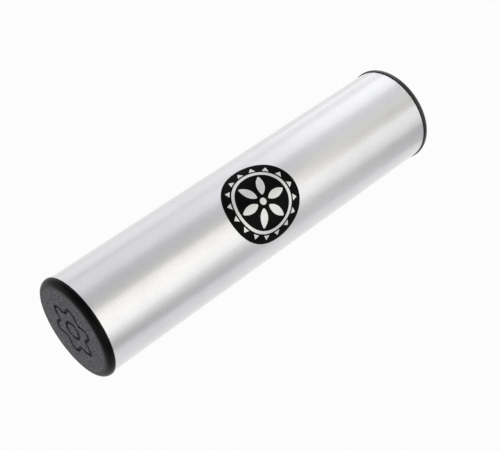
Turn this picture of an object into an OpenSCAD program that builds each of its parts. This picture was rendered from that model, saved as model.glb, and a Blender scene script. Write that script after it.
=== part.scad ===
// Ganza shaker lying on its side: an aluminium tube closed by two moulded plug caps,
// with a round label on its wall and loose steel shot in its chamber.
// The tube runs along X, the shot lies at the bottom, and the part rests on z = 0.

/* [Tube] */
// Outer diameter of the aluminium tube
tube_d = 50; // [44:0.5:60]
// Thickness of the tube's wall
tube_wall = 1.2; // [0.9:0.1:2]
// Length of the tube, cut square at both ends
tube_len = 204.5; // [170:0.5:260]
// Chamfer that breaks the edges of both ends
tube_chamfer = 0.3; // [0.1:0.05:0.35]

/* [Cap rim] */
// Thickness of the cap's disc, which closes the tube's end
disc_t = 3.5; // [3.4:0.1:6]
// How far the disc stands out past the tube all round
disc_lip = 0.5; // [0.2:0.1:1.5]
// Radius of the disc's rounded outer edge
rim_round = 2.8; // [1:0.1:3]
// Radius of the disc's small edge beside the tube
rim_heel = 0.25; // [0.1:0.05:0.3]

/* [Cap plug] */
// Length of the hollow plug, which is pressed into the tube
plug_len = 10; // [7:0.5:16]
// Thickness of the plug's wall
plug_wall = 1.8; // [1.2:0.1:2.6]
// Clearance between the plug and the tube's bore
plug_gap = 0.15; // [0.1:0.05:0.3]
// Height of the chamfer that leads the plug into the bore
plug_lead = 0.8; // [0.4:0.1:1]
// Thickness of the cap's floor over the hollow of the plug
floor_t = 2.2; // [1.6:0.1:3]
// Fillet between the floor and the plug's wall
cup_fillet = 1.2; // [0.5:0.1:2]
// Number of crush ribs round the plug
rib_count = 12; // [4:1:24]
// Width of a crush rib
rib_w = 1.2; // [0.8:0.1:2]
// Clearance that the pressed ribs leave in the bore
rib_gap = 0.03; // [0.02:0.01:0.05]
// Length over which a rib's far end slopes down to the plug
rib_run_in = 1.5; // [0.5:0.1:3]

/* [Label] */
// Diameter of the round label, measured flat
label_d = 40.5; // [20:0.5:46]
// Thickness of the label
label_t = 0.2; // [0.1:0.05:0.4]
// Thickness of the glue under the label
glue_t = 0.04; // [0.02:0.01:0.08]
// How far the label's centre lies from the middle of the tube
label_x = -3.6; // [-20:0.1:20]
// How far the label is turned round the tube, from the top towards the front
label_turn = 36; // [0:1:90]

/* [Steel shot] */
// Diameter of one steel ball
shot_d = 5; // [3:0.1:5.5]
// Number of balls in a row
row_count = 20; // [8:1:24]
// Gap between the balls of one row
shot_gap = 0.2; // [0.1:0.05:0.3]
// Gap between neighbouring rows
row_gap = 0.3; // [0.2:0.05:0.5]
// Gap between the lowest rows and the tube's bore
bore_gap = 0.25; // [0.2:0.05:0.4]

/* [Hidden] */
// Rows of the lower layer, as steps of the row angle from the bottom of the bore
lower_steps = [-2.5, -1.5, -0.5, 0.5, 1.5, 2.5];
// Rows of the upper layer, which lie in the grooves between the lower rows
upper_steps = [-2, 2];
ROWS = len(lower_steps) + len(upper_steps);

tube_r = tube_d / 2;
bore_r = tube_r - tube_wall;
disc_r = tube_r + disc_lip;
plug_r = bore_r - plug_gap;
cup_r = plug_r - plug_wall;
rib_r = bore_r - rib_gap;
// Height of the tube's axis when the rims of both caps rest on the ground
axis_z = disc_r;

shot_r = shot_d / 2;
shot_pitch = shot_d + shot_gap;
row_pitch = shot_d + row_gap;
// Distance of the lower rows from the tube's axis, and the angle between two of them
lower_r = bore_r - bore_gap - shot_r;
row_angle = 2 * asin(row_pitch / 2 / lower_r);
// An upper row rests in a groove, as far from the two rows below it as they are apart
upper_r = lower_r * cos(row_angle / 2) - row_pitch * sin(60);
// Neighbouring lower rows are staggered by half a ball, half of it each way
row_stagger = shot_pitch / 4;

// Overrun of a cut past the face that it opens
cut = 0.5;
label_points = 96;

$fn = 96;

// Turns a shape that stands on z = 0 so that it lies along the tube's axis and points to +X
module lay() {
    translate([0, 0, axis_z]) rotate([0, 90, 0]) children();
}

// Tube: one revolved wall with all four edges broken
module tube() {
    half = tube_len / 2;
    color("silver") lay() rotate_extrude() polygon([
        [bore_r, -half + tube_chamfer],
        [bore_r + tube_chamfer, -half],
        [tube_r - tube_chamfer, -half],
        [tube_r, -half + tube_chamfer],
        [tube_r, half - tube_chamfer],
        [tube_r - tube_chamfer, half],
        [bore_r + tube_chamfer, half],
        [bore_r, half - tube_chamfer]
    ]);
}

// Half section of the disc, with its broad outer fillet and the small heel beside the tube
module disc_section() {
    square([disc_r - rim_round, disc_t]);
    translate([0, rim_heel]) square([disc_r, disc_t - rim_heel - rim_round]);
    square([disc_r - rim_heel, disc_t - rim_round]);
    translate([disc_r - rim_round, disc_t - rim_round]) intersection() {
        circle(rim_round);
        square(rim_round);
    }
    translate([disc_r - rim_heel, rim_heel]) circle(rim_heel);
}

// Half section of the plug as a solid, with the chamfer that leads it into the bore
module plug_section() {
    polygon([
        [0, 0],
        [plug_r, 0],
        [plug_r, plug_lead - plug_len],
        [plug_r - plug_lead / 2, -plug_len],
        [0, -plug_len]
    ]);
}

// Half section of the hollow in the plug, filleted where it meets the floor
module cup_section() {
    top = disc_t - floor_t;
    translate([0, -plug_len - cut]) square([cup_r, plug_len + cut + top - cup_fillet]);
    square([cup_r - cup_fillet, top]);
    translate([cup_r - cup_fillet, top - cup_fillet]) circle(cup_fillet);
}

// Crush ribs: slices of one revolved band, so their crests are true to the bore
module crush_ribs() {
    foot = plug_len - plug_lead;
    intersection() {
        rotate_extrude() polygon([
            [cup_r + plug_wall / 2, 0],
            [rib_r, 0],
            [rib_r, rib_run_in - foot],
            [plug_r, -foot],
            [cup_r + plug_wall / 2, -foot]
        ]);
        for (k = [0 : rib_count - 1])
            rotate([0, 0, 360 * k / rib_count])
                translate([0, -rib_w / 2, -foot]) cube([bore_r, rib_w, foot]);
    }
}

// Cap: the disc outside the tube, the hollow plug inside it and the ribs that grip the bore
module cap() {
    color("#2c2d30") {
        rotate_extrude() difference() {
            union() {
                disc_section();
                plug_section();
            }
            cup_section();
        }
        crush_ribs();
    }
}

module front_cap() {
    mirror([1, 0, 0]) lay() translate([0, 0, tube_len / 2]) cap();
}

module rear_cap() {
    lay() translate([0, 0, tube_len / 2]) cap();
}

// Label: a flat disc wrapped round the tube, so its outline narrows across the tube
module label() {
    inner = tube_r + glue_t;
    outer = inner + label_t;
    middle = inner + label_t / 2;
    flat_r = label_d / 2;
    outline = [for (k = [0 : label_points - 1])
        let (t = 360 * k / label_points, wrap = flat_r * sin(t) / middle * 180 / PI)
            [flat_r * cos(t), middle * sin(wrap)]];
    color("#0c0c0e") translate([label_x, 0, axis_z]) rotate([label_turn, 0, 0])
        intersection() {
            rotate([0, 90, 0]) difference() {
                cylinder(r = outer, h = label_d + 2 * cut, center = true);
                cylinder(r = inner, h = label_d + 4 * cut, center = true);
            }
            linear_extrude(outer + cut) polygon(outline);
        }
}

// One row of balls along the tube, turned round its axis from the bottom of the bore
module shot_row(radius, turn, shift) {
    color("#b9bcc0") translate([shift, 0, axis_z]) rotate([turn, 0, 0])
        for (k = [0 : row_count - 1])
            translate([(k - (row_count - 1) / 2) * shot_pitch, 0, -radius])
                sphere(shot_r);
}

// The row in the middle of the pile: it lies in the groove over the lowest two rows
module shot_core() {
    shot_row(upper_r, 0, 0);
}

// The rows round the core: the lower layer first, then the upper one
module outer_row(k) {
    lower = k <= len(lower_steps);
    step = lower ? lower_steps[k - 1] : upper_steps[k - 1 - len(lower_steps)];
    shift = lower ? (k % 2 == 0 ? 1 : -1) * row_stagger : 0;
    shot_row(lower ? lower_r : upper_r, step * row_angle, shift);
}

tube();
front_cap();
rear_cap();
label();
shot_core();
for (k = [1 : ROWS])
    outer_row(k);
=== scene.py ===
"""The looks of the ganza shaker: materials, the label with its printed ornament, studio and camera."""

import math

import bmesh
import bpy
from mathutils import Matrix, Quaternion, Vector

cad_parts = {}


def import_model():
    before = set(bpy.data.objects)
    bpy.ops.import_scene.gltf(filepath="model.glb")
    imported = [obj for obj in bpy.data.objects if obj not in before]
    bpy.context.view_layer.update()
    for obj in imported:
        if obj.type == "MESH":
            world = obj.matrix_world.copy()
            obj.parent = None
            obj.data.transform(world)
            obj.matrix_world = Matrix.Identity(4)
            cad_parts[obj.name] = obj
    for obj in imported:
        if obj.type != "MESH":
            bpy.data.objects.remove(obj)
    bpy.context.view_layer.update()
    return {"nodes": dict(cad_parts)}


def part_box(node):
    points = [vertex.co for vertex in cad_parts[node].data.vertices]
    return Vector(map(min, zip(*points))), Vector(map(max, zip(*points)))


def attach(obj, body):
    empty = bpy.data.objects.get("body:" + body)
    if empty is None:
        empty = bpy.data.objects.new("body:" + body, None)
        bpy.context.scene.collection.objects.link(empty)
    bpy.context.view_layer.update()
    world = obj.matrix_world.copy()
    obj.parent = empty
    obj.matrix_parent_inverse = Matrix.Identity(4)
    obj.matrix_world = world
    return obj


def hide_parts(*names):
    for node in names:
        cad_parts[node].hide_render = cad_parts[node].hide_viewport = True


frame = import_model()

MM = 0.001

# Places and sizes that come from the frame: the tube's axis and the cap's disc
tube_low, tube_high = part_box("tube")
cap_low, cap_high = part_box("front_cap")
AXIS_Z = (tube_low.z + tube_high.z) / 2
CENTRE = Vector((0, 0, AXIS_Z))
CAP_R = (cap_high.z - cap_low.z) / 2


class Nodes:
    """Builds the node tree of one material."""

    def __init__(self, tree):
        self.tree = tree
        tree.nodes.clear()

    def add(self, kind, **attributes):
        node = self.tree.nodes.new(kind)
        for name, value in attributes.items():
            setattr(node, name, value)
        return node

    def feed(self, socket, source):
        """Gives an input socket a plain value, or the output of another node."""
        if isinstance(source, bpy.types.NodeSocket):
            self.tree.links.new(source, socket)
        else:
            socket.default_value = source

    def math(self, operation, a, b=0.0):
        node = self.add("ShaderNodeMath", operation=operation)
        self.feed(node.inputs[0], a)
        self.feed(node.inputs[1], b)
        return node.outputs[0]

    def position(self):
        """The point on the object, in metres in the frame's own axes."""
        return self.add("ShaderNodeTexCoord").outputs["Object"]

    def axes(self, position):
        """The X, Y and Z of a point, by name."""
        node = self.add("ShaderNodeSeparateXYZ")
        self.feed(node.inputs[0], position)
        return node.outputs

    def surface(self, shader):
        """Makes a shader's output the material's surface."""
        self.feed(self.add("ShaderNodeOutputMaterial").inputs["Surface"], shader)

    def noise(self, position, size, detail=2.0, roughness=0.5):
        """Noise from 0 to 1 whose grains are about the given size."""
        node = self.add("ShaderNodeTexNoise")
        self.feed(node.inputs["Vector"], position)
        self.feed(node.inputs["Scale"], 1 / size)
        self.feed(node.inputs["Detail"], detail)
        self.feed(node.inputs["Roughness"], roughness)
        return node.outputs["Fac"]

    def remap(self, source, start, end, low, high, smooth=False):
        """Carries the range from start to end over to the range from low to high."""
        kind = "SMOOTHSTEP" if smooth else "LINEAR"
        node = self.add("ShaderNodeMapRange", interpolation_type=kind)
        self.feed(node.inputs["Value"], source)
        for name, value in (("From Min", start), ("From Max", end), ("To Min", low), ("To Max", high)):
            self.feed(node.inputs[name], value)
        return node.outputs["Result"]

    def blend(self, share, low, high):
        """A colour between two colours, each of them three numbers or another node's output."""
        node = self.add("ShaderNodeMix", data_type="RGBA")
        self.feed(node.inputs["Factor"], share)
        colours = [s for s in node.inputs if s.type == "RGBA"]
        for socket, colour in zip(colours, (low, high)):
            self.feed(socket, (*colour, 1) if isinstance(colour, tuple) else colour)
        return next(s for s in node.outputs if s.type == "RGBA")

    def bump(self, height, depth, strength=1.0):
        node = self.add("ShaderNodeBump")
        self.feed(node.inputs["Height"], height)
        self.feed(node.inputs["Distance"], depth)
        self.feed(node.inputs["Strength"], strength)
        return node.outputs["Normal"]

    def distance_from_axis(self, position):
        """How far a point lies from the tube's axis, in metres."""
        across = self.add("ShaderNodeVectorMath", operation="SUBTRACT")
        self.feed(across.inputs[0], position)
        self.feed(across.inputs[1], CENTRE)
        flat = self.add("ShaderNodeVectorMath", operation="MULTIPLY")
        self.feed(flat.inputs[0], across.outputs["Vector"])
        self.feed(flat.inputs[1], (0, 1, 1))
        length = self.add("ShaderNodeVectorMath", operation="LENGTH")
        self.feed(length.inputs[0], flat.outputs["Vector"])
        return length.outputs["Value"]


def empty_material(name):
    """A material without nodes yet, and its node builder."""
    material = bpy.data.materials.new(name)
    material.use_nodes = True
    return material, Nodes(material.node_tree)


def new_material(name):
    """A material with one Principled shader. Returns it with its node builder and a setter."""
    material, nodes = empty_material(name)
    shader = nodes.add("ShaderNodeBsdfPrincipled")
    nodes.surface(shader.outputs["BSDF"])

    def put(**sockets):
        for socket, source in sockets.items():
            nodes.feed(shader.inputs[socket.replace("_", " ")], source)

    return material, nodes, put


# Nearly all of a noise lies between these two values
NOISE_LOW = 0.3
NOISE_HIGH = 0.7

TUBE_GRAIN = 0.24 * MM
TUBE_MOTTLE = 0.9 * MM
TUBE_CLOUDS = 14 * MM
TUBE_CLOUD_SHARE = 0.3
TUBE_DARK = (0.585, 0.582, 0.599)
TUBE_LIGHT = (0.682, 0.679, 0.697)
TUBE_ROUGHNESS = 0.34
TUBE_ROUGHNESS_SPREAD = 0.03
TUBE_GRAIN_DEPTH = 0.02 * MM
TUBE_GRAIN_STRENGTH = 0.35
COAT_ROUGHNESS = 0.15
COAT_IOR = 1.6


def satin_aluminium():
    """Bead-blasted aluminium under a clear anodised coat: even fine grain and faint broad clouds."""
    material, nodes, put = new_material("satin_aluminium")
    position = nodes.position()
    grain = nodes.noise(position, TUBE_GRAIN, detail=3)
    mottle = nodes.noise(position, TUBE_MOTTLE, detail=3, roughness=0.7)
    clouds = nodes.noise(position, TUBE_CLOUDS)
    put(Metallic=1.0, Coat_Weight=1.0, Coat_Roughness=COAT_ROUGHNESS, Coat_IOR=COAT_IOR)
    cloud_part = nodes.math("MULTIPLY", clouds, TUBE_CLOUD_SHARE)
    mottle_part = nodes.math("MULTIPLY", mottle, 1 - TUBE_CLOUD_SHARE)
    tone = nodes.remap(nodes.math("ADD", cloud_part, mottle_part), NOISE_LOW, NOISE_HIGH, 0.0, 1.0)
    put(Base_Color=nodes.blend(tone, TUBE_DARK, TUBE_LIGHT))
    smooth = TUBE_ROUGHNESS - TUBE_ROUGHNESS_SPREAD
    rough = TUBE_ROUGHNESS + TUBE_ROUGHNESS_SPREAD
    put(Roughness=nodes.remap(grain, NOISE_LOW, NOISE_HIGH, smooth, rough))
    put(Normal=nodes.bump(grain, TUBE_GRAIN_DEPTH, TUBE_GRAIN_STRENGTH))
    return material


# The grooves in a cap's face: a wavy ring round a plain one, both with sloping walls
WAVE_LOBES = 6
WAVE_R = 11.2 * MM
WAVE_SWING = 2.0 * MM
EYE_R = 4.4 * MM
GROOVE_HALF = 0.95 * MM
GROOVE_FLOOR_HALF = 0.6 * MM
GROOVE_DEPTH = 0.5 * MM


def groove_shade_mask(nodes, position, radius):
    """Where painted shade darkens a cap's face: 1 on the floor of each groove, a wavy ring round a plain
    one, and 0 outside.
    """
    axes = nodes.axes(position)
    height = nodes.math("SUBTRACT", axes["Z"], AXIS_Z)
    phase = nodes.math("MULTIPLY", nodes.math("ARCTAN2", axes["Y"], height), WAVE_LOBES)
    wavy = nodes.math("ADD", nodes.math("MULTIPLY", nodes.math("COSINE", phase), WAVE_SWING), WAVE_R)
    steep = nodes.math("MULTIPLY", nodes.math("SINE", phase), WAVE_SWING * WAVE_LOBES / WAVE_R)
    slant = nodes.math("SQRT", nodes.math("ADD", nodes.math("MULTIPLY", steep, steep), 1.0))
    off_wave = nodes.math("DIVIDE", nodes.math("ABSOLUTE", nodes.math("SUBTRACT", radius, wavy)), slant)
    off_eye = nodes.math("ABSOLUTE", nodes.math("SUBTRACT", radius, EYE_R))
    off = nodes.math("MINIMUM", off_wave, off_eye)
    return nodes.remap(off, GROOVE_FLOOR_HALF, GROOVE_HALF, 1.0, 0.0)


# The face's finish turns into the rim's between these distances in from the cap's outside
RIM_BLEND_START = 4.3 * MM
RIM_BLEND_END = 3.0 * MM
SPARK_SIZE = 0.8 * MM
SPARK_LOW = 0.38
SPARK_HIGH = 0.62
SPARK_DEPTH = 0.05 * MM
RIM_SPARK_DEPTH = 0.1 * SPARK_DEPTH
FACE_ROUGHNESS = 0.55
RIM_ROUGHNESS = 0.32
# The face's speckled grey is partly its spark texture and partly painted light, lifted to make up for the
# dim light that falls on the face
CAP_FACE_DARK_WITH_PAINTED_LIGHT = (0.049, 0.050, 0.056)
CAP_FACE_LIGHT_WITH_PAINTED_LIGHT = (0.245, 0.248, 0.270)
# Painted shade: a near-black colour on the groove floors, where shade falls in them
CAP_GROOVE_SHADE = (0.002, 0.002, 0.0025)
# The front cap is a shaded copy of the same plastic: its rim colour is painted darker and its specular
# weaker than the rear's, so its rim shows painted shade
FRONT_RIM_SHADED = (0.0012, 0.0012, 0.0014)
REAR_RIM = (0.0035, 0.0037, 0.004)
FRONT_SPECULAR_SHADED = 0.08
REAR_SPECULAR = 0.5


def cap_plastic(name, rim_colour, specular):
    """Black moulded plastic: the flat face is spark-textured and greyer, partly from painted light; the
    rim is smooth and black, and on the front cap it is darkened further by painted shade.
    """
    material, nodes, put = new_material(name)
    position = nodes.position()
    radius = nodes.distance_from_axis(position)
    rim = nodes.remap(radius, CAP_R - RIM_BLEND_START, CAP_R - RIM_BLEND_END, 0.0, 1.0, smooth=True)
    sparks = nodes.noise(position, SPARK_SIZE, roughness=0.6)
    groove_shade = groove_shade_mask(nodes, position, radius)
    speckle = nodes.remap(sparks, SPARK_LOW, SPARK_HIGH, 0.0, 1.0)
    # The groove floors are darkened with painted shade
    face = nodes.blend(groove_shade, nodes.blend(speckle, CAP_FACE_DARK_WITH_PAINTED_LIGHT, CAP_FACE_LIGHT_WITH_PAINTED_LIGHT), CAP_GROOVE_SHADE)
    put(Base_Color=nodes.blend(rim, face, rim_colour))
    put(Roughness=nodes.remap(rim, 0.0, 1.0, FACE_ROUGHNESS, RIM_ROUGHNESS))
    put(Specular_IOR_Level=specular)
    depth = nodes.remap(rim, 0.0, 1.0, SPARK_DEPTH, RIM_SPARK_DEPTH)
    put(Normal=nodes.bump(nodes.math("MULTIPLY", sparks, depth), 1.0))
    return material


VINYL_WAVES = 9 * MM
VINYL_WAVE_DEPTH = 0.02 * MM
VINYL_WAVE_STRENGTH = 0.2
VINYL_GRAIN = 0.8 * MM
VINYL_DARK = (0.0008, 0.0008, 0.001)
VINYL_LIGHT = (0.0014, 0.0014, 0.0017)
VINYL_SMOOTH = 0.24
VINYL_ROUGH = 0.30
VINYL_SPECULAR = 0.05


def label_vinyl():
    """Black vinyl with a soft gloss and very slight waves."""
    material, nodes, put = new_material("label_vinyl")
    waves = nodes.noise(nodes.position(), VINYL_WAVES, detail=1)
    grain = nodes.noise(nodes.position(), VINYL_GRAIN)
    put(Base_Color=nodes.blend(grain, VINYL_DARK, VINYL_LIGHT))
    put(Roughness=nodes.remap(grain, NOISE_LOW, NOISE_HIGH, VINYL_SMOOTH, VINYL_ROUGH))
    put(Specular_IOR_Level=VINYL_SPECULAR)
    put(Normal=nodes.bump(waves, VINYL_WAVE_DEPTH, VINYL_WAVE_STRENGTH))
    return material


INK_GRAIN = 0.2 * MM
INK_GRAIN_DEPTH = 0.01 * MM
INK_GRAIN_STRENGTH = 0.3
INK_DARK = (0.60, 0.60, 0.60)
INK_LIGHT = (0.71, 0.71, 0.71)
INK_SMOOTH = 0.42
INK_ROUGH = 0.5


def silver_print():
    """Matt silver ink with a fine grain."""
    material, nodes, put = new_material("silver_print")
    grain = nodes.noise(nodes.position(), INK_GRAIN, detail=3)
    put(Metallic=1.0)
    put(Base_Color=nodes.blend(grain, INK_DARK, INK_LIGHT))
    put(Roughness=nodes.remap(grain, NOISE_LOW, NOISE_HIGH, INK_SMOOTH, INK_ROUGH))
    put(Normal=nodes.bump(grain, INK_GRAIN_DEPTH, INK_GRAIN_STRENGTH))
    return material


STEEL_SCUFFS = 1.1 * MM
SCUFF_LOW = 0.4
SCUFF_HIGH = 0.8
STEEL_DARK = (0.56, 0.56, 0.57)
STEEL_LIGHT = (0.66, 0.66, 0.67)
STEEL_SMOOTH = 0.10
STEEL_ROUGH = 0.28


def polished_steel():
    """Bearing steel with a thin film of oil and faint scuffs."""
    material, nodes, put = new_material("polished_steel")
    scuffs = nodes.noise(nodes.position(), STEEL_SCUFFS, detail=4)
    put(Metallic=1.0)
    put(Base_Color=nodes.blend(scuffs, STEEL_DARK, STEEL_LIGHT))
    put(Roughness=nodes.remap(scuffs, SCUFF_LOW, SCUFF_HIGH, STEEL_SMOOTH, STEEL_ROUGH))
    return material


def dress(node, material):
    """Gives a CAD node its finish."""
    for slot in frame["nodes"][node].material_slots:
        slot.material = material


class LabelPlace:
    """Where the label lies, read from its CAD node, and the wrap from flat to the tube."""

    def __init__(self):
        points = [v.co - CENTRE for v in frame["nodes"]["label"].data.vertices]
        radii = [math.hypot(p.y, p.z) for p in points]
        low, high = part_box("label")
        self.x = (low.x + high.x) / 2
        self.flat_r = (high.x - low.x) / 2
        self.inner = min(radii)
        self.outer = max(radii)
        middle = sum(points, Vector()) / len(points)
        self.turn = math.atan2(-middle.y, middle.z)

    def wrap(self, along, round_, radius):
        """A point of the flat label, in metres from its centre, laid on the tube at a radius."""
        angle = self.turn + round_ * 2 / (self.inner + self.outer)
        return (self.x + along, -radius * math.sin(angle), AXIS_Z + radius * math.cos(angle))


def new_object(name, data):
    """An object in the scene that holds a mesh, a lamp or a camera."""
    obj = bpy.data.objects.new(name, data)
    bpy.context.scene.collection.objects.link(obj)
    return obj


def mesh_object(name, points, faces, material, smooth=True):
    mesh = bpy.data.meshes.new(name)
    mesh.from_pydata(points, [], faces)
    mesh.polygons.foreach_set("use_smooth", [smooth] * len(mesh.polygons))
    mesh.materials.append(material)
    mesh.validate()
    return new_object(name, mesh)


def wave_line(turn, offset):
    """The radius, at a turn from the top, of a line that runs beside the wavy ring at an offset."""
    steep = math.sin(WAVE_LOBES * turn) * WAVE_SWING * WAVE_LOBES / WAVE_R
    return WAVE_R + WAVE_SWING * math.cos(WAVE_LOBES * turn) + offset * math.hypot(1, steep)


def eye_line(turn, offset):
    """The same for the plain ring inside it, whose radius is the same at every turn."""
    return EYE_R + offset


WELD = 0.001 * MM
SHARP_ANGLE = math.radians(30)


def moulded_cap(node, material):
    """The cap's own mesh, with a wavy and a plain groove sunk in its face."""
    mesh = frame["nodes"][node].data.copy()
    shape = bmesh.new()
    shape.from_mesh(mesh)
    bmesh.ops.remove_doubles(shape, verts=shape.verts, dist=WELD)
    face_x = max((v.co.x for v in shape.verts), key=abs)
    flat = [f for f in shape.faces if all(abs(v.co.x - face_x) < WELD for v in f.verts)]
    bmesh.ops.delete(shape, geom=flat, context="FACES")
    rim = {v for e in shape.edges if len(e.link_faces) == 1 for v in e.verts}
    turned = sorted((math.atan2(v.co.y, v.co.z - AXIS_Z), v.index, v) for v in rim)
    turns = [turn for turn, index, v in turned]
    row = [v for turn, index, v in turned]
    n = len(row)
    floor_x = face_x - math.copysign(GROOVE_DEPTH, face_x)
    section = ((GROOVE_HALF, face_x), (GROOVE_FLOOR_HALF, floor_x),
               (-GROOVE_FLOOR_HALF, floor_x), (-GROOVE_HALF, face_x))
    for line in (wave_line, eye_line):
        for offset, x in section:
            above, row = row, []
            for turn in turns:
                r = line(turn, offset)
                row.append(shape.verts.new((x, r * math.sin(turn), AXIS_Z + r * math.cos(turn))))
            for k in range(n):
                shape.faces.new((above[k], above[(k + 1) % n], row[(k + 1) % n], row[k]))
    middle = shape.verts.new((face_x, 0, AXIS_Z))
    for k in range(n):
        shape.faces.new((row[k], row[(k + 1) % n], middle))
    bmesh.ops.recalc_face_normals(shape, faces=shape.faces)
    for face in shape.faces:
        face.smooth = True
    shape.to_mesh(mesh)
    shape.free()
    mesh.attributes.remove(mesh.attributes["custom_normal"])
    mesh.set_sharp_from_angle(angle=SHARP_ANGLE)
    mesh.materials.clear()
    mesh.materials.append(material)
    obj = new_object(node + "_moulded", mesh)
    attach(obj, "shell")
    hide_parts(node)


LABEL_SEGMENTS = 180
LABEL_RING_STEP = 1.2 * MM
LABEL_EDGE_ROUND = 0.07 * MM
LABEL_EDGE_TURNS = (math.radians(30), math.radians(60))


def label_disc(place):
    """The label as a thin disc with a softly rounded cut edge, wrapped round the tube."""
    r, thick, edge = place.flat_r, place.outer - place.inner, LABEL_EDGE_ROUND
    rings = round((r - edge) / LABEL_RING_STEP)
    inward = [(r - 2 * edge) * k / rings for k in range(1, rings + 1)]
    profile = [(q, 0) for q in inward] + [(r, 0), (r, thick - edge)]
    profile += [(r - edge + edge * math.cos(a), thick - edge + edge * math.sin(a))
                for a in LABEL_EDGE_TURNS]
    profile += [(r - edge, thick)] + [(q, thick) for q in reversed(inward)]
    points = [place.wrap(0, 0, place.inner)]
    for q, height in profile:
        for k in range(LABEL_SEGMENTS):
            a = 2 * math.pi * k / LABEL_SEGMENTS
            points.append(place.wrap(q * math.cos(a), q * math.sin(a), place.inner + height))
    points.append(place.wrap(0, 0, place.outer))
    n, last = LABEL_SEGMENTS, len(points) - 1
    faces = [(0, 1 + k, 1 + (k + 1) % n) for k in range(n)]
    for j in range(len(profile) - 1):
        for k in range(n):
            a, b = 1 + j * n + k, 1 + j * n + (k + 1) % n
            faces.append((a, a + n, b + n, b))
    top = last - n
    faces += [(last, top + (k + 1) % n, top + k) for k in range(n)]
    obj = mesh_object("label_disc", points, faces, label_vinyl())
    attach(obj, "shell")
    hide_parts("label")


PRINT_RISE = 0.02 * MM
PRINT_SINK = 0.02 * MM
RING_SEGMENTS = 180
# The share of its width that a ray loses by its tip
RAY_TAPER = 0.96
RAY_CELLS = 4
PETAL_ENDS_TRIM = 0.03
PETAL_FULLNESS = 0.8
PETAL_CELLS_ACROSS = 6
PETAL_CELLS_ALONG = 14


class Print:
    """Collects thin printed patches on the label and makes one mesh of them."""

    def __init__(self, place):
        self.place = place
        self.points = []
        self.faces = []

    def patch(self, outline, across, along, closed=False):
        """Adds a closed thin solid; outline(s, t) gives flat radius and angle for s and t from 0 to 1."""
        start = len(self.points)
        columns = across if closed else across + 1
        for radius in (self.place.outer + PRINT_RISE, self.place.outer - PRINT_SINK):
            for j in range(along + 1):
                for i in range(columns):
                    r, a = outline(i / across, j / along)
                    self.points.append(self.place.wrap(r * math.cos(a), r * math.sin(a), radius))
        layer = columns * (along + 1)

        def at(i, j, low=0):
            return start + low * layer + j * columns + i % columns

        for i in range(across):
            for j in range(along):
                self.faces.append((at(i, j), at(i + 1, j), at(i + 1, j + 1), at(i, j + 1)))
                self.faces.append((at(i, j, 1), at(i, j + 1, 1), at(i + 1, j + 1, 1), at(i + 1, j, 1)))
            self.faces.append((at(i, 0), at(i, 0, 1), at(i + 1, 0, 1), at(i + 1, 0)))
            self.faces.append((at(i, along), at(i + 1, along), at(i + 1, along, 1), at(i, along, 1)))
        if not closed:
            for j in range(along):
                self.faces.append((at(0, j), at(0, j + 1), at(0, j + 1, 1), at(0, j, 1)))
                far = across
                self.faces.append((at(far, j), at(far, j, 1), at(far, j + 1, 1), at(far, j + 1)))

    def ring(self, inner, outer):
        """A flat ring between two radii."""

        def band(s, t):
            return inner + (outer - inner) * t, 2 * math.pi * s

        self.patch(band, RING_SEGMENTS, 1, closed=True)

    def teeth(self, count, base, tip, fill):
        """A ring of triangles that point from the base radius to the tip radius."""
        half = math.pi / count * fill
        for k in range(count):
            middle = 2 * math.pi * k / count

            def tooth(s, t):
                width = half * (1 - RAY_TAPER * t)
                return base + (tip - base) * t, middle + width * (2 * s - 1)

            self.patch(tooth, RAY_CELLS, RAY_CELLS)

    def petals(self, count, start, end, half_width):
        """A rosette of leaf shapes."""
        for k in range(count):
            middle = 2 * math.pi * k / count

            def petal(s, t):
                r = start + (end - start) * t
                part = PETAL_ENDS_TRIM + (1 - 2 * PETAL_ENDS_TRIM) * t
                width = half_width * math.sin(math.pi * part) ** PETAL_FULLNESS
                return r, middle + width / r * (2 * s - 1)

            self.patch(petal, PETAL_CELLS_ACROSS, PETAL_CELLS_ALONG)


RAY_COUNT = 16
RAY_BASE = 16.2 * MM
RAY_TIP = 18.3 * MM
RAY_FILL = 0.5
RING_OUTER = 15.4 * MM
RING_INNER = 13.9 * MM
PETAL_COUNT = 6
PETAL_START = 3.4 * MM
PETAL_END = 12.6 * MM
PETAL_HALF_WIDTH = 2.1 * MM
DOT_R = 1.7 * MM
DOT_HOLE_R = 0.05 * DOT_R


def label_ornament(place):
    """A plain geometric ornament: a rosette in a ring, with short rays round it."""
    ink = Print(place)
    ink.teeth(RAY_COUNT, RAY_BASE, RAY_TIP, RAY_FILL)
    ink.ring(RING_INNER, RING_OUTER)
    ink.petals(PETAL_COUNT, PETAL_START, PETAL_END, PETAL_HALF_WIDTH)
    ink.ring(DOT_HOLE_R, DOT_R)
    obj = mesh_object("label_ornament", ink.points, ink.faces, silver_print(), smooth=False)
    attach(obj, "shell")


FLOOR_R = 5.0
BACKDROP_CURVE_R = 1.0
BACKDROP_CURVE_STEP = 15
BACKDROP_TOP = 3.2
BACKDROP_SEGMENTS = 96
BACKDROP_WHITE = 0.975
BACKDROP_GLOW = 0.3
WHITE_STRENGTH = 1.0
FLOOR_COLOUR = (0.9, 0.9, 0.9, 1)


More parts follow.
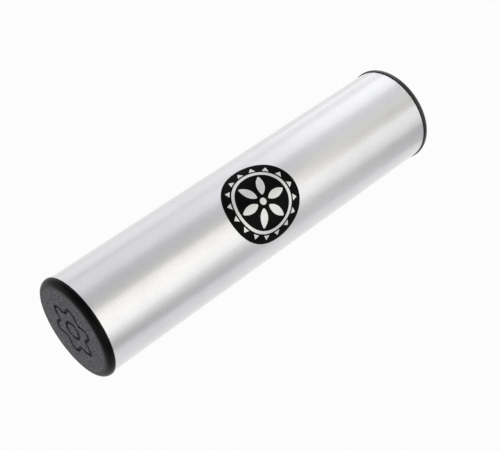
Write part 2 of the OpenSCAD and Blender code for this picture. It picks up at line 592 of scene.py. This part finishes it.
def backdrop():
    """White floor that curves up into a low round wall, and its material.

    It shows mostly its own white, and enough of the lit surface to keep the shadow.
    """
    material, nodes = empty_material("floor_white")
    path = nodes.add("ShaderNodeLightPath")
    seen = nodes.math("MAXIMUM", path.outputs["Is Camera Ray"], path.outputs["Is Glossy Ray"])
    seen = nodes.math("MAXIMUM", seen, path.outputs["Is Transmission Ray"])
    lit = nodes.add("ShaderNodeBsdfDiffuse")
    nodes.feed(lit.inputs["Color"], FLOOR_COLOUR)
    own = nodes.add("ShaderNodeEmission")
    nodes.feed(own.inputs["Strength"], WHITE_STRENGTH)
    mix = nodes.add("ShaderNodeMixShader")
    nodes.feed(mix.inputs["Fac"], nodes.remap(seen, 0.0, 1.0, BACKDROP_GLOW, BACKDROP_WHITE))
    nodes.feed(mix.inputs[1], lit.outputs["BSDF"])
    nodes.feed(mix.inputs[2], own.outputs["Emission"])
    nodes.surface(mix.outputs["Shader"])
    profile = [(FLOOR_R, 0)]
    for degrees in range(BACKDROP_CURVE_STEP, 91, BACKDROP_CURVE_STEP):
        a = math.radians(degrees)
        profile.append((FLOOR_R + BACKDROP_CURVE_R * math.sin(a), BACKDROP_CURVE_R * (1 - math.cos(a))))
    profile.append((FLOOR_R + BACKDROP_CURVE_R, BACKDROP_TOP))
    n = BACKDROP_SEGMENTS
    turns = [2 * math.pi * k / n for k in range(n)]
    points = [(r * math.cos(a), r * math.sin(a), z) for r, z in profile for a in turns]
    faces = [tuple(range(n))]
    for j in range(len(profile) - 1):
        for k in range(n):
            a, b = j * n + k, j * n + (k + 1) % n
            faces.append((a, b, b + n, a + n))
    mesh_object("floor", points, faces, material)


# The corners, in x and y, of a grey card that lies on the floor in front of the tube: a glowing sheet put
# there only to paint a dark reflection of shade.
# Only the tube's reflections show it, as the soft dark line along the lower edge. It is palest in the
# middle and darkens evenly over its fade on both sides
CARD_CORNERS = ((-0.3, -0.102), (0.45, 0.007), (0.45, -0.22), (-0.3, -0.22))
CARD_RISE = 0.5 * MM
CARD_MIDDLE = 0.07
CARD_FADE = 0.16
CARD_PALE = 0.8
CARD_DARK = 0.5


def shade_reflection_card():
    """The card and its glow, which stands for how much light falls on it: a painted reflection of shade in
    the tube.
    """
    material, nodes = empty_material("shade_reflection_card_glow")
    glow = nodes.add("ShaderNodeEmission")
    x = nodes.axes(nodes.position())["X"]
    off = nodes.math("ABSOLUTE", nodes.math("SUBTRACT", x, CARD_MIDDLE))
    nodes.feed(glow.inputs["Strength"], nodes.remap(off, 0.0, CARD_FADE, CARD_PALE, CARD_DARK))
    nodes.surface(glow.outputs["Emission"])
    corners = [(x, y, CARD_RISE) for x, y in CARD_CORNERS]
    card = mesh_object("shade_reflection_card", corners, [(0, 1, 2, 3)], material, smooth=False)
    card.visible_camera = card.visible_diffuse = card.visible_shadow = False


WORLD_COLOUR = (1, 1, 1, 1)
WORLD_STRENGTH = 0.1


def world():
    """A faint even light from all round."""
    surroundings = bpy.data.worlds.new("studio")
    surroundings.use_nodes = True
    background = surroundings.node_tree.nodes["Background"]
    background.inputs["Color"].default_value = WORLD_COLOUR
    background.inputs["Strength"].default_value = WORLD_STRENGTH
    bpy.context.scene.world = surroundings


# Four brightness levels that all the strips of light share
DIM = 0.2
HALF = 0.6
FULL = 1.0
HOT = 1.5
# Strips of softboxes beside the tube. Each row gives the angles from the top towards the front
# between which the strip stands, in degrees, and how bright its near box and its far one are
STRIPS = {
    "back_floor": (-90, -80, DIM, HALF),
    "back_low": (-80, -55, DIM, DIM),
    "back_mid": (-55, -35, FULL, HOT),
    "back_high": (-35, -15, FULL, HOT),
    "top": (-15, 15, HALF, FULL),
    "front_high": (15, 30, HALF, FULL),
    "front_mid": (30, 60, HOT, HALF),
    "front_low": (60, 85, HALF, DIM),
}
# Where along the tube the near boxes start, the far ones follow them, and these end
STRIP_START = -0.1
STRIP_SPLIT = 0.5
STRIP_END = 1.0
COOL_LIGHT = (0.97, 0.98, 1)
WARM_LIGHT = (1, 0.99, 0.92)
# Boxes beyond the front cap, between the angles given. They light its face, and the tube mirrors
# them in the views from the rear
FILLS = {"fill_back": (-80, -30), "fill_top": (-25, 25), "fill_front": (30, 80)}
FILL_START = -1.0
FILL_END = -0.35
FILL_BRIGHTNESS = 0.6
FILL_COLOUR = (1, 1, 1)
SOFTBOX_DISTANCE = 0.8


def softbox(name, low_turn, high_turn, start, end, brightness, colour):
    """A rectangular area light beside the tube, square to the tube's axis."""
    half_angle = math.radians(high_turn - low_turn) / 2
    turn = math.radians(low_turn + high_turn) / 2
    data = bpy.data.lights.new(name, "AREA")
    data.shape = "RECTANGLE"
    data.size = end - start
    data.size_y = 2 * SOFTBOX_DISTANCE * math.tan(half_angle)
    data.energy = brightness * math.pi * data.size * data.size_y
    data.color = colour
    obj = new_object(name, data)
    away = SOFTBOX_DISTANCE * Vector((0, -math.sin(turn), math.cos(turn)))
    obj.location = CENTRE + away + Vector(((start + end) / 2, 0, 0))
    obj.rotation_euler = (turn, 0, 0)
    obj.visible_camera = False


def studio_boxes():
    """Every softbox as its name and what softbox() takes."""
    boxes = []
    for name, (low, high, near, far) in STRIPS.items():
        colour = WARM_LIGHT if low > 0 else COOL_LIGHT
        boxes.append((name + "_near", low, high, STRIP_START, STRIP_SPLIT, near, colour))
        boxes.append((name + "_far", low, high, STRIP_SPLIT, STRIP_END, far, colour))
    for name, (low, high) in FILLS.items():
        boxes.append((name, low, high, FILL_START, FILL_END, FILL_BRIGHTNESS, FILL_COLOUR))
    return boxes


# The photograph's view: from the front left and above, in a frame of 500 x 450 pixels
CAMERA_FROM_CENTRE = Vector((-265.80, -278.73, 396.25)) * MM
CAMERA_FORWARD = Vector((0.47719, 0.49628, -0.72526))
CAMERA_ROLL = math.radians(0.13)
CAMERA_LENS = 82.232
CAMERA_SENSOR = 36.0


def camera():
    """The scene's camera, at the photograph's view."""
    data = bpy.data.cameras.new("camera")
    data.sensor_fit = "HORIZONTAL"
    data.sensor_width = CAMERA_SENSOR
    data.lens = CAMERA_LENS
    obj = new_object("camera", data)
    obj.location = CENTRE + CAMERA_FROM_CENTRE
    level = CAMERA_FORWARD.to_track_quat("-Z", "Y")
    obj.rotation_euler = (level @ Quaternion((0, 0, 1), CAMERA_ROLL)).to_euler()
    bpy.context.scene.camera = obj


def dress_cad_nodes():
    """The finishes of the CAD nodes that stay as they are: the tube and the shot."""
    dress("tube", satin_aluminium())
    steel = polished_steel()
    for name in frame["nodes"]:
        if name.startswith("shot_"):
            dress(name, steel)


dress_cad_nodes()
# The front cap gets the shaded copy of the plastic, with painted shade on its rim
moulded_cap("front_cap", cap_plastic("cap_plastic_front_shaded", FRONT_RIM_SHADED, FRONT_SPECULAR_SHADED))
moulded_cap("rear_cap", cap_plastic("cap_plastic_rear", REAR_RIM, REAR_SPECULAR))
label_place = LabelPlace()
label_disc(label_place)
label_ornament(label_place)
backdrop()
shade_reflection_card()
world()
for box in studio_boxes():
    softbox(*box)
camera()
bpy.context.scene.view_settings.view_transform = "Standard"
